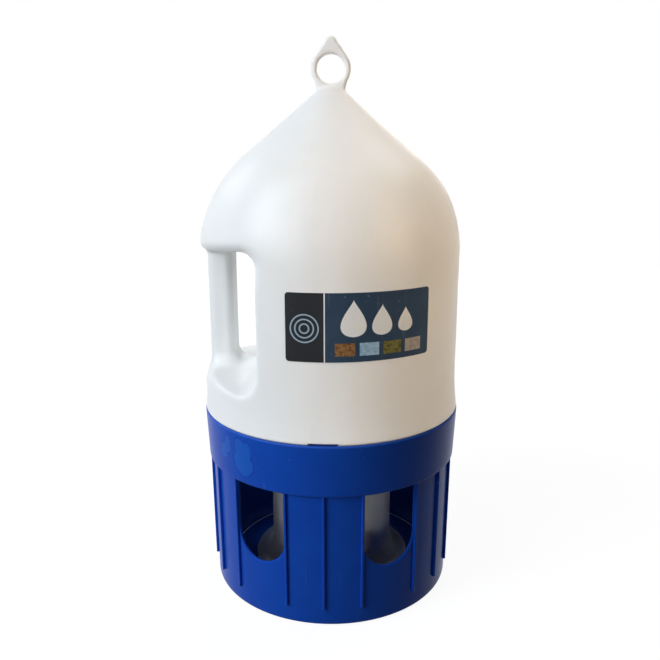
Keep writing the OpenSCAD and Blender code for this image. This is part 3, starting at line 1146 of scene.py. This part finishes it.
def dried_water_group():
    """Blotches and runs left by dried water, as a mask."""
    sizes = {"Vector": None, "Spot size": 40.0, "Amount": 0.5}
    tree, given = shade_group("dried_water", sizes, ("Mask",))
    tall = add(tree, "ShaderNodeMapping", {"Vector": given["Vector"], "Scale": STAIN_STRETCH})
    patch = noise(tree, tall, given["Spot size"], Detail=5.0, Roughness=0.62, Distortion=0.8)
    speck = noise(tree, given["Vector"], SPECK_SIZE, Detail=2.0)
    spread = ((patch - (1.0 - given["Amount"])) * STAIN_SHARP).clamped()
    add(tree, "NodeGroupOutput", {"Mask": (spread * (speck + SPECK_LEAST)).clamped()})
    return tree


def scuff_group():
    """Fine handling scratches in two directions, as a mask."""
    sizes = {"Vector": None, "Size": 260.0, "Amount": 0.3}
    tree, given = shade_group("handling_scuffs", sizes, ("Mask",))
    masks = []
    for turn, stretch in SCRATCHES:
        turned = add(tree, "ShaderNodeMapping",
                     {"Vector": given["Vector"], "Rotation": turn, "Scale": stretch})
        lines = noise(tree, turned, given["Size"], Detail=1.0)
        limit = SCRATCH_LIMIT - given["Amount"] * SCRATCH_GAIN
        masks.append(((lines - limit) * SCRATCH_SHARP).clamped())
    add(tree, "NodeGroupOutput", {"Mask": masks[0].apply("MAXIMUM", masks[1])})
    return tree


GRAIN = moulded_grain_group()
DRIED_WATER = dried_water_group()
SCUFFS = scuff_group()


def new_finish(name):
    """An empty material with its Principled shader and its texture coordinates."""
    material = bpy.data.materials.new(name)
    material.use_nodes = True
    tree = material.node_tree
    places = add(tree, "ShaderNodeTexCoord").outputs
    return material, tree, tree.nodes["Principled BSDF"], places


def effect(tree, group, **inputs):
    """Places a shared effect in a material; an underscore stands for a space in an input's name."""
    made = tree.nodes.new("ShaderNodeGroup")
    made.node_tree = group
    for key, value in inputs.items():
        feed(tree, made.inputs[key.replace("_", " ")], value)
    return outputs_of(tree, made)


def blend_colour(tree, share, first, second):
    """A mix of two colours."""
    mix = add(tree, "ShaderNodeMix", data_type="RGBA")
    for i, value in ((0, share), (6, first), (7, second)):
        feed(tree, mix.inputs[i], value)
    return mix.outputs[2]


def dress(tree, shader, colour, rough, height, strength, distance, **plain):
    """Feeds a shader its colour, roughness and relief, and sets what is the same all over."""
    feed(tree, shader.inputs["Base Color"], colour)
    feed(tree, shader.inputs["Roughness"], rough)
    relief = add(tree, "ShaderNodeBump", {"Height": height, "Strength": strength, "Distance": distance})
    feed(tree, shader.inputs["Normal"], relief)
    for key, value in plain.items():
        shader.inputs[key.replace("_", " ")].default_value = value


def srgb(r, g, b):
    """A colour written in the usual 0 to 255 steps."""
    parts = []
    for c in (r, g, b):
        c /= 255
        parts.append(c / 12.92 if c <= 0.04045 else ((c + 0.055) / 1.055) ** 2.4)
    return (*parts, 1.0)


# Finishes: milky plastic, heights in metres


# Painted shade on the foot: below a set height its colour goes in patches to a blue-grey, painted shade with
# a blue cast that stands for light thrown back by the blue trough.
FOOT_SHADE_TOP = 0.027
FOOT_SHADE_FADE = 0.017
FOOT_SHADE_PATCHES = 0.6
FOOT_SHADE_BLUE_GREY = srgb(100, 105, 126)
# Painted light: above a set height the reservoir goes paler, a painted glow that stands for light shining
# through the eye's plate.
EYE_GLOW_FROM = 0.362
EYE_GLOW_FADE = 0.010
EYE_PAINTED_GLOW = srgb(248, 246, 243)
STAIN_TONE = srgb(196, 188, 172)
STAIN_SHARE = 0.10
MILKY_ROUGH = 0.30
MILKY_SCUFF_ROUGH = 0.15
MILKY_MOTTLE_ROUGH = 0.08
PARTING_HALF_W = 0.0005
PARTING_RELIEF = 0.2


def milky_plastic(name, light, deep, blown):
    """Milky polyethylene, softly glossy. The blown reservoir has a parting line and a paler eye,
    its paleness painted light; the foot has painted shade, blue-grey, below a set height."""
    material, tree, shader, places = new_finish(name)
    place = places["Object"]
    axes = outputs_of(tree, add(tree, "ShaderNodeSeparateXYZ", {"Vector": place}))
    grain = effect(tree, GRAIN, Vector=place, Grain_size=1100.0, Wave_size=34.0, Waves=0.9)
    marks = effect(tree, DRIED_WATER, Vector=place, Spot_size=30.0, Amount=0.36)
    scuffs = effect(tree, SCUFFS, Vector=place, Size=300.0, Amount=0.5)
    height = grain["Height"]
    colour = blend_colour(tree, grain["Mottle"], light, deep)
    colour = blend_colour(tree, marks["Mask"] * STAIN_SHARE, colour, STAIN_TONE)
    if blown:
        # painted light: paler above a set height, on the eye and the cone's tip
        eye_glow = ((axes["Z"] - EYE_GLOW_FROM) / EYE_GLOW_FADE).clamped()
        colour = blend_colour(tree, eye_glow, colour, EYE_PAINTED_GLOW)
        line = (1.0 - abs(axes["Y"]) / PARTING_HALF_W).clamped()
        height = height + line * PARTING_RELIEF
    else:
        # painted shade: the foot darkens to blue-grey below its set height
        shade_depth = (FOOT_SHADE_TOP - axes["Z"]) / FOOT_SHADE_FADE
        film = (shade_depth + (grain["Mottle"] - 0.5) * FOOT_SHADE_PATCHES).clamped()
        colour = blend_colour(tree, film, colour, FOOT_SHADE_BLUE_GREY)
    rough = scuffs["Mask"] * MILKY_SCUFF_ROUGH + MILKY_ROUGH + grain["Mottle"] * MILKY_MOTTLE_ROUGH
    dress(tree, shader, colour, rough, height, strength=0.25, distance=0.0006,
          Subsurface_Weight=0.25, Subsurface_Radius=(1.0, 0.9, 0.8), Subsurface_Scale=0.001,
          Specular_IOR_Level=0.4, IOR=1.5)
    return material


# Finishes: blue plastic, places on it in millimetres


# Painted shade: the inside of the cage darker, up to the collar.
CAGE_SHADE_R = 90.9
CAGE_SHADE_LOW_Z = 4.0
CAGE_SHADE_TOP_Z = 101.0
# Painted highlight: a pale narrow ring round the trough floor, where its fillet starts.
TROUGH_GLINT_IN_R = 79.9
TROUGH_GLINT_OUT_R = 80.7
TROUGH_GLINT_LOW_Z = 4.0
TROUGH_GLINT_TOP_Z = 8.0
TROUGH_GLINT_LEAST = 0.6
# Painted highlight along the top of the rim, broken up by noise like the trough's painted highlight line.
BREAK_UP_SIZE = 60.0
RIM_HIGHLIGHT_DEPTH = 1.7
RIM_HIGHLIGHT_LEAST = 0.4
# dried splashes on the collar: how far across from the front, height, half width and half height
SPLASHES = (
    (-60.5, 115.5, 9.6, 9.8),
    (-62.5, 126.0, 6.0, 7.5),
    (-56.0, 125.0, 3.8, 7.5),
    (-81.5, 119.0, 4.5, 6.5),
    (-76.0, 125.5, 3.6, 7.0),
)
SPLASH_WOBBLE = 1.0
WOBBLE_SIZE = 120.0
SPLASH_EDGE = 1.5
SPLASH_SHARP = 4.5
MASK_SHARP = 6.0
BLUE_ROUGH = 0.3
BLUE_STAIN_ROUGH = 0.25
BLUE_SCUFF_ROUGH = 0.2


def between(value, low, high):
    """A mask that is 1 where a value lies between two others."""
    off = abs(value - (low + high) / 2)
    return (((high - low) / 2 - off) * MASK_SHARP + 0.5).clamped()


def box_mask(across, up, left, right, low, top):
    """A mask for an oblong."""
    return between(across, left, right) * between(up, low, top)


def splash_reach(across, up, middle, level, half_w, half_h):
    """How far a place lies from the middle of a splash, 1 at its edge."""
    u = (across - middle) / half_w
    v = (up - level) / half_h
    return u * u + v * v


def base_marks(tree, place):
    """Masks on the blue base: splashes, their edges, a painted highlight on the rim, painted shade inside
    the cage and a painted highlight line round the trough floor.
    """
    scaled = add(tree, "ShaderNodeVectorMath", {0: place, "Scale": 1 / MM}, operation="SCALE")
    axes = outputs_of(tree, add(tree, "ShaderNodeSeparateXYZ", {"Vector": scaled}))
    x = axes["X"]
    y = axes["Y"]
    up = axes["Z"]
    radius = (x * x + y * y).apply("SQRT")
    across = x.apply("ARCTAN2", y * -1.0) * COLLAR_LOW_R
    wobble = noise(tree, place, WOBBLE_SIZE, Detail=2.0)
    broken = noise(tree, place, BREAK_UP_SIZE, Detail=4.0)
    reach = splash_reach(across, up, *SPLASHES[0])
    for size in SPLASHES[1:]:
        reach = reach.apply("MINIMUM", splash_reach(across, up, *size))
    over = (SPLASH_EDGE - (reach + wobble * SPLASH_WOBBLE)) * SPLASH_SHARP
    inside = over.apply("MAXIMUM", 0.0).clamped()
    edge = (1.0 - abs(over)).clamped()
    # painted highlight along the rim's top edge
    rim_highlight = (1.0 - (RIM_Z - up) / RIM_HIGHLIGHT_DEPTH).clamped()
    rim_highlight = (rim_highlight * (broken + RIM_HIGHLIGHT_LEAST)).clamped()
    # painted shade inside the cage
    cage_shade = box_mask(radius, up, -1.0, CAGE_SHADE_R, CAGE_SHADE_LOW_Z, CAGE_SHADE_TOP_Z)
    # painted highlight line round the trough floor
    line = box_mask(radius, up, TROUGH_GLINT_IN_R, TROUGH_GLINT_OUT_R, TROUGH_GLINT_LOW_Z, TROUGH_GLINT_TOP_Z)
    line = (line * (broken + TROUGH_GLINT_LEAST)).clamped()
    return inside, edge, rim_highlight, cage_shade, line


def blue_plastic(name):
    """Glossy blue polypropylene with dried water, scuffs and a moulded grain, and painted highlights and
    painted shade.
    """
    material, tree, shader, places = new_finish(name)
    place = places["Object"]
    inside, edge, rim_highlight, cage_shade, line = base_marks(tree, place)
    grain = effect(tree, GRAIN, Vector=place, Grain_size=1300.0, Wave_size=45.0, Waves=0.6)
    marks = effect(tree, DRIED_WATER, Vector=place, Spot_size=26.0, Amount=0.40)["Mask"]
    scuffs = effect(tree, SCUFFS, Vector=place, Size=320.0, Amount=0.6)["Mask"]
    colour = blend_colour(tree, grain["Mottle"], srgb(22, 83, 192), srgb(17, 72, 179))
    for mask, share, tone in (
        (marks, 0.35, srgb(58, 108, 190)),
        (scuffs, 0.3, srgb(120, 150, 210)),
        (inside, 0.6, srgb(30, 102, 202)),
        (edge, 0.55, srgb(14, 56, 152)),
        # painted highlight on the rim
        (rim_highlight, 0.7, srgb(62, 112, 214)),
        # painted shade inside the cage
        (cage_shade, 0.6, srgb(12, 30, 92)),
        # painted highlight line on the trough floor
        (line, 0.9, srgb(236, 240, 243)),
    ):
        colour = blend_colour(tree, mask * share, colour, tone)
    rough = marks * BLUE_STAIN_ROUGH + BLUE_ROUGH + scuffs * BLUE_SCUFF_ROUGH
    dress(tree, shader, colour, rough, grain["Height"], strength=0.12, distance=0.0005,
          IOR=1.49, Specular_IOR_Level=0.06)
    return material


# Finishes: print of the label, in millimetres from its lower left corner


PRINT_NAVY = (srgb(30, 54, 78), srgb(22, 42, 62))
PRINT_BLACK = srgb(16, 19, 24)
PRINT_WHITE = srgb(226, 228, 228)
PRINT_GREY = srgb(150, 172, 190)
PRINT_SCUFF = srgb(150, 158, 166)
PRINT_SCUFF_SHARE = 0.25
PRINT_ROUGH = 0.3
PRINT_MOTTLE_ROUGH = 0.12
PANEL_START = -5.0
PANEL_EDGE = 25.0
LINE_W = 0.8
# drops: middle across, level and half height
DROPS = ((44.0, 28.5, 12.0), (63.0, 27.0, 10.0), (80.0, 26.0, 8.0))
DROP_POINT = 0.75
DROP_SHARP = 5.0
DROP_EDGE = 0.2
RIPPLE_MIDDLE = (12.5, 22.0)
RIPPLES = (3.0, 6.0, 9.0)
RIPPLE_HALF_W = 0.45
# swatches: left edge, pale and deep colour
SWATCHES = (
    (32.0, srgb(150, 108, 58), srgb(72, 46, 26)),
    (48.0, srgb(168, 196, 216), srgb(104, 140, 172)),
    (64.0, srgb(122, 112, 44), srgb(48, 52, 24)),
    (80.0, srgb(176, 168, 156), srgb(138, 130, 120)),
)
SWATCH_W = 13.0
SWATCH_LOW = 4.0
SWATCH_TOP = 12.5
SWATCH_GRAIN = 620.0


def drop_group():
    """A water drop on the label, as a mask; sizes in millimetres."""
    sizes = {"Across": 0.0, "Up": 0.0, "Middle": 0.0, "Level": 0.0, "Size": 8.0}
    tree, given = shade_group("label_drop", sizes, ("Mask",))
    off = abs(given["Across"] - given["Middle"])
    rise = (given["Up"] - given["Level"]) / given["Size"]
    rise = rise.apply("MAXIMUM", -1.0).apply("MINIMUM", 1.0)
    round_part = (1.0 - rise * rise).apply("SQRT")
    point_part = ((1.0 - rise) * 0.5).apply("POWER", DROP_POINT)
    half = round_part * point_part * given["Size"]
    add(tree, "NodeGroupOutput", {"Mask": ((half - off) * DROP_SHARP + DROP_EDGE).clamped()})
    return tree


def printed_film(name):
    """A printed film: navy with a dark panel of ripples, pale drops and a row of grain swatches."""
    material, tree, shader, places = new_finish(name)
    place = places["Object"]
    drop = drop_group()
    sheet = outputs_of(tree, add(tree, "ShaderNodeSeparateXYZ", {"Vector": places["UV"]}))
    across = sheet["X"] * LABEL_W
    up = sheet["Y"] * LABEL_H
    grain = effect(tree, GRAIN, Vector=place, Grain_size=1500.0, Wave_size=60.0, Waves=0.5)
    scuffs = effect(tree, SCUFFS, Vector=place, Size=350.0, Amount=0.6)["Mask"]
    colour = blend_colour(tree, grain["Mottle"], *PRINT_NAVY)
    colour = blend_colour(tree, between(across, PANEL_START, PANEL_EDGE), colour, PRINT_BLACK)
    colour = blend_colour(tree, between(across, PANEL_EDGE, PANEL_EDGE + LINE_W), colour, PRINT_WHITE)
    for middle, level, size in DROPS:
        mask = effect(tree, drop, Across=across, Up=up, Middle=middle, Level=level, Size=size)["Mask"]
        colour = blend_colour(tree, mask, colour, PRINT_WHITE)
    off_x = across - RIPPLE_MIDDLE[0]
    off_y = up - RIPPLE_MIDDLE[1]
    away = (off_x * off_x + off_y * off_y).apply("SQRT")
    for radius in RIPPLES:
        ring = between(away, radius - RIPPLE_HALF_W, radius + RIPPLE_HALF_W)
        colour = blend_colour(tree, ring, colour, PRINT_GREY)
    cells = add(tree, "ShaderNodeTexVoronoi", {"Vector": place, "Scale": SWATCH_GRAIN})
    for left, pale, deep in SWATCHES:
        picture = blend_colour(tree, cells.outputs["Color"], pale, deep)
        mask = box_mask(across, up, left, left + SWATCH_W, SWATCH_LOW, SWATCH_TOP)
        colour = blend_colour(tree, mask, colour, picture)
    colour = blend_colour(tree, scuffs * PRINT_SCUFF_SHARE, colour, PRINT_SCUFF)
    rough = grain["Mottle"] * PRINT_MOTTLE_ROUGH + PRINT_ROUGH
    dress(tree, shader, colour, rough, grain["Height"], strength=0.1, distance=0.0004,
          Specular_IOR_Level=0.2)
    return material


# Stage: floor, light and camera


WHITE = (1.0, 1.0, 1.0, 1.0)
STAGE_R = 6.0
STAGE_SIDES = 96
STAGE_Z = -0.0005
FLOOR_GREY = (0.16, 0.16, 0.16, 1.0)
FLOOR_GREY_DEEP = (0.1584, 0.1584, 0.1584, 1.0)
FLOOR_GRAIN = 40.0
# how white the floor shows near the fount, and from where to where it fades to full white
NEAR_WHITE = 0.92
NEAR_FLOOR = 0.3
FAR_FLOOR = 1.1
ROOM_COLOUR = (1.0, 0.94, 0.87, 1.0)
ROOM_STRENGTH = 0.03


def is_shown(tree):
    """1 for what a picture, a gloss or a glass shows of the stage, and 0 for the light it gives."""
    path = outputs_of(tree, add(tree, "ShaderNodeLightPath"))
    shown = path["Is Camera Ray"].apply("MAXIMUM", path["Is Glossy Ray"])
    return shown.apply("MAXIMUM", path["Is Transmission Ray"])


def pale_floor():
    """A pale floor that reads as white in a picture and keeps the shadow."""
    material = bpy.data.materials.new("pale_floor")
    material.use_nodes = True
    tree = material.node_tree
    tree.nodes.clear()
    grain = add(tree, "ShaderNodeTexNoise", {"Scale": FLOOR_GRAIN}).outputs["Fac"]
    plain = add(tree, "ShaderNodeBsdfDiffuse",
                {"Color": blend_colour(tree, grain, FLOOR_GREY, FLOOR_GREY_DEEP)})
    place = add(tree, "ShaderNodeTexCoord").outputs["Object"]
    away = add(tree, "ShaderNodeVectorMath", {0: place}, operation="LENGTH").outputs["Value"]
    strength = add(tree, "ShaderNodeMapRange", {"Value": away, "From Min": NEAR_FLOOR, "From Max": FAR_FLOOR,
                                                "To Min": NEAR_WHITE, "To Max": 1.0})
    glow = add(tree, "ShaderNodeEmission", {"Color": WHITE, "Strength": strength})
    lit = add(tree, "ShaderNodeAddShader", {0: plain, 1: glow})
    either = add(tree, "ShaderNodeMixShader", {0: is_shown(tree), 1: plain, 2: lit})
    add(tree, "ShaderNodeOutputMaterial", {"Surface": either})
    return material


def make_floor():
    """A wide round floor."""
    work = bmesh.new()
    bmesh.ops.create_circle(work, cap_ends=True, segments=STAGE_SIDES, radius=STAGE_R)
    mesh = mesh_from(work, "floor")
    mesh.materials.append(pale_floor())
    floor = bpy.data.objects.new("floor", mesh)
    floor.location.z = STAGE_Z
    bpy.context.scene.collection.objects.link(floor)


def make_world():
    """An even room around the fount, white where a picture shows it."""
    world = bpy.data.worlds.new("room")
    bpy.context.scene.world = world
    world.use_nodes = True
    tree = world.node_tree
    tree.nodes.clear()
    room = add(tree, "ShaderNodeBackground", {"Color": ROOM_COLOUR, "Strength": ROOM_STRENGTH})
    white = add(tree, "ShaderNodeBackground", {"Color": WHITE, "Strength": 1.0})
    either = add(tree, "ShaderNodeMixShader", {0: is_shown(tree), 1: room, 2: white})
    add(tree, "ShaderNodeOutputWorld", {"Surface": either})


# Lamps: name, place, aim, size, spread in degrees, power and colour
LAMPS = (
    ("window_light", (-1.05, -0.62, 1.05), (0.0, 0.0, 0.20), (0.8, 1.0), 180.0, 10.4, (0.78, 0.89, 1.0)),
    ("pane_light", (-1.30, -0.75, 0.74), (0.0, 0.0, 0.25), (0.28, 0.36), 180.0, 2.0, (0.76, 0.90, 1.0)),
    ("front_light", (-0.80, -0.95, 0.55), (0.0, 0.0, 0.20), (0.8, 0.8), 180.0, 5.0, (0.98, 0.98, 1.0)),
    ("ceiling_light", (-0.45, -0.55, 1.66), (0.0, 0.0, 0.30), (0.35, 0.35), 180.0, 1.3, (1.0, 1.0, 1.0)),
    ("back_light", (-1.16, 0.64, 1.05), (0.0, 0.0, 0.28), (0.6, 0.6), 180.0, 1.8, (1.0, 0.99, 0.99)),
    ("rear_light", (0.10, 1.40, 0.75), (0.0, 0.0, 0.18), (1.0, 0.9), 180.0, 5.5, (0.96, 0.98, 1.0)),
    ("top_light", (0.70, 0.45, 1.40), (0.0, 0.0, 0.30), (0.7, 0.7), 180.0, 4.3, (0.98, 0.98, 1.0)),
)
# The milky walls carry light round to the shaded side and down the neck.
GLOW_LAMPS = (
    ("wall_glow", (1.10, -0.68, 0.68), (0.0, 0.0, 0.22), (0.8, 0.8), 180.0, 4.6, (1.0, 0.73, 0.46)),
    ("waist_glow", (1.10, -0.68, 0.50), (0.0, 0.0, 0.26), (0.25, 0.25), 12.0, 0.042, (1.0, 0.75, 0.46)),
    ("neck_glow", (0.10, -1.30, 0.12), (0.0, 0.0, 0.06), (0.3, 0.2), 30.0, 0.05, (0.95, 0.97, 1.0)),
    ("front_glow", (-0.75, -0.85, 0.95), (0.0, 0.0, 0.20), (0.8, 0.8), 180.0, 1.3, (0.89, 0.94, 1.0)),
)


def make_lamp(name, place, aim, size, spread, power, colour):
    """A soft oblong lamp that looks at its aim."""
    lamp = bpy.data.lights.new(name, "AREA")
    lamp.shape = "RECTANGLE"
    lamp.size, lamp.size_y = size
    lamp.spread = math.radians(spread)
    lamp.energy = power
    lamp.color = colour
    holder = bpy.data.objects.new(name, lamp)
    holder.location = place
    holder.rotation_euler = (Vector(aim) - Vector(place)).to_track_quat("-Z", "Y").to_euler()
    bpy.context.scene.collection.objects.link(holder)
    return holder


def make_lamps(milky_pieces):
    """The room's lamps, and the soft glow that reaches the milky pieces alone."""
    for values in LAMPS:
        make_lamp(*values)
    lit = bpy.data.collections.new("milky_pieces")
    for piece in milky_pieces:
        lit.objects.link(piece)
    for values in GLOW_LAMPS:
        make_lamp(*values).light_linking.receiver_collection = lit


def make_camera():
    """The camera at the photograph's place, with its slight yaw and roll."""
    turn = Matrix.Rotation(CAMERA_TURN, 3, "Z")
    level = math.cos(CAMERA_PITCH)
    ahead = Vector((math.sin(CAMERA_YAW) * level, math.cos(CAMERA_YAW) * level, -math.sin(CAMERA_PITCH)))
    right = ahead.cross(Vector((0, 0, 1))).normalized()
    above = right.cross(ahead)
    right, above = (
        right * math.cos(CAMERA_ROLL) + above * math.sin(CAMERA_ROLL),
        above * math.cos(CAMERA_ROLL) - right * math.sin(CAMERA_ROLL),
    )
    axes = [turn @ right, turn @ above, turn @ -ahead]
    lens = bpy.data.cameras.new("camera")
    lens.lens = CAMERA_LENS
    lens.sensor_width = SENSOR_W
    lens.clip_start = 0.01
    camera = bpy.data.objects.new("camera", lens)
    camera.matrix_world = Matrix.LocRotScale(
        turn @ Vector((0, -CAMERA_AWAY, CAMERA_Z)), Matrix(axes).transposed(), None)
    bpy.context.scene.collection.objects.link(camera)
    bpy.context.scene.camera = camera


def settle_piece(piece, body, slot, *nodes):
    """Hands a finished piece to the frame."""
    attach(piece, body)
    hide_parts(*nodes)


make_camera()
bpy.context.scene.view_settings.view_transform = "Standard"
make_floor()
make_world()

milky = milky_plastic("milky_reservoir", srgb(243, 243, 242), srgb(236, 236, 233), True)
# The foot's whites are a little darker than the reservoir's: painted shade.
milky_foot = milky_plastic("milky_foot", srgb(236, 236, 233), srgb(228, 227, 223), False)
blue = blue_plastic("blue_base")
film = printed_film("printed_label")

reservoir = make_reservoir(milky)
flared_foot = make_foot(milky_foot)
label = make_label(film)
make_lamps([reservoir, label])
settle_piece(reservoir, "reservoir", "reservoir_white",
             "reservoir_floor", "plug_skirt", "reservoir_wall", "reservoir_cone", "handle_pocket",
             "outlet_neck", "carry_handle", "hanging_eye")
settle_piece(make_cage(blue), "base", "base_blue", "water_trough", "cage_piers")
settle_piece(make_ribs(blue), "base", "base_blue", "stiffening_ribs")
settle_piece(make_collar(blue), "base", "base_blue", "seat_collar")
settle_piece(make_lugs(blue), "base", "base_blue", "bayonet_lugs")
settle_piece(flared_foot, "foot", "foot_white", "outlet_foot")
settle_piece(label, "reservoir", "label_film", "front_label")
